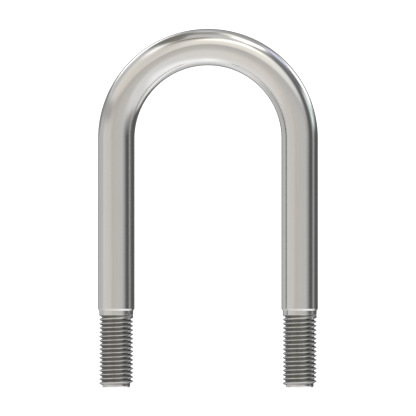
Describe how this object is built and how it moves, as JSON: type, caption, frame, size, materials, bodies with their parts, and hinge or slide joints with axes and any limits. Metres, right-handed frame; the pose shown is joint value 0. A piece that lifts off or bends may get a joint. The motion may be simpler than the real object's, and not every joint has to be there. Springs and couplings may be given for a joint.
{
  "type": "u-bolt",
  "caption": "Round steel bar bent to a half circle with two parallel threaded legs, for clamping a round tube against a plate or saddle.",
  "frame": {"origin": "midway between the two legs' end faces, in the plane of those faces", "axes": "+Z along the legs from the threaded ends up to the bow; X across the legs, from one to the other; Y is the thickness of the bar"},
  "size_m": [0.1034, 0.0172, 0.1684],
  "materials": {
    "bright_steel": "smooth drawn bar with a bright, lightly satin zinc finish; the thread and its chamfers are machined"
  },
  "bodies": {
    "root": {"u_bolt": "bright_steel"}
  },
  "joints": []
}
